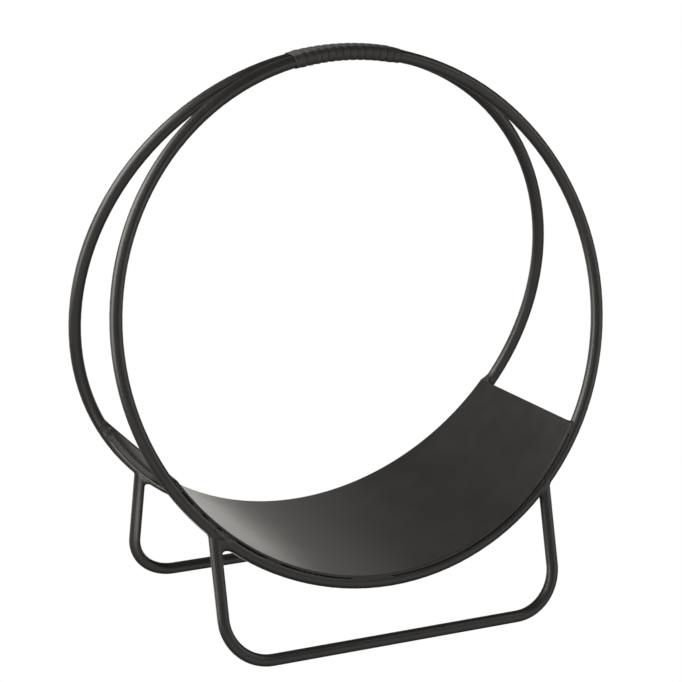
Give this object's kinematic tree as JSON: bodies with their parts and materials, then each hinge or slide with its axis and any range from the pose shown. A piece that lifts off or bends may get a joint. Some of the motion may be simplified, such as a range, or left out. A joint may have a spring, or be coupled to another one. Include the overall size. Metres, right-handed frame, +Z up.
{
  "type": "log holder",
  "caption": "Free-standing log holder: leaning round-bar hoops joined at the crown under a wound leather grip, a rolled sheet tray between them and bent bar feet.",
  "frame": {"origin": "on the floor, under the middle of the holder", "axes": "+Z up, +Y from the front hoop to the rear hoop, +X to the right seen from the front"},
  "size_m": [0.512, 0.2726, 0.5547],
  "materials": {
    "bar_coat": "satin charcoal powder coat on round steel bar",
    "tray_coat": "satin charcoal powder coat on rolled sheet steel",
    "weld_coat": "satin charcoal powder coat over weld beads",
    "grip_leather": "dark matte leather strip with fine grain"
  },
  "bodies": {
    "root": {"front_hoop": "bar_coat", "rear_hoop": "bar_coat", "front_foot": "bar_coat", "rear_foot": "bar_coat", "tray": "tray_coat", "front_hoop_seam": "weld_coat", "rear_hoop_seam": "weld_coat", "crown_weld": "weld_coat", "front_left_foot_weld": "weld_coat", "front_right_foot_weld": "weld_coat", "rear_left_foot_weld": "weld_coat", "rear_right_foot_weld": "weld_coat", "front_tray_welds": "weld_coat", "rear_tray_welds": "weld_coat", "grip_wrap": "grip_leather"}
  },
  "joints": []
}
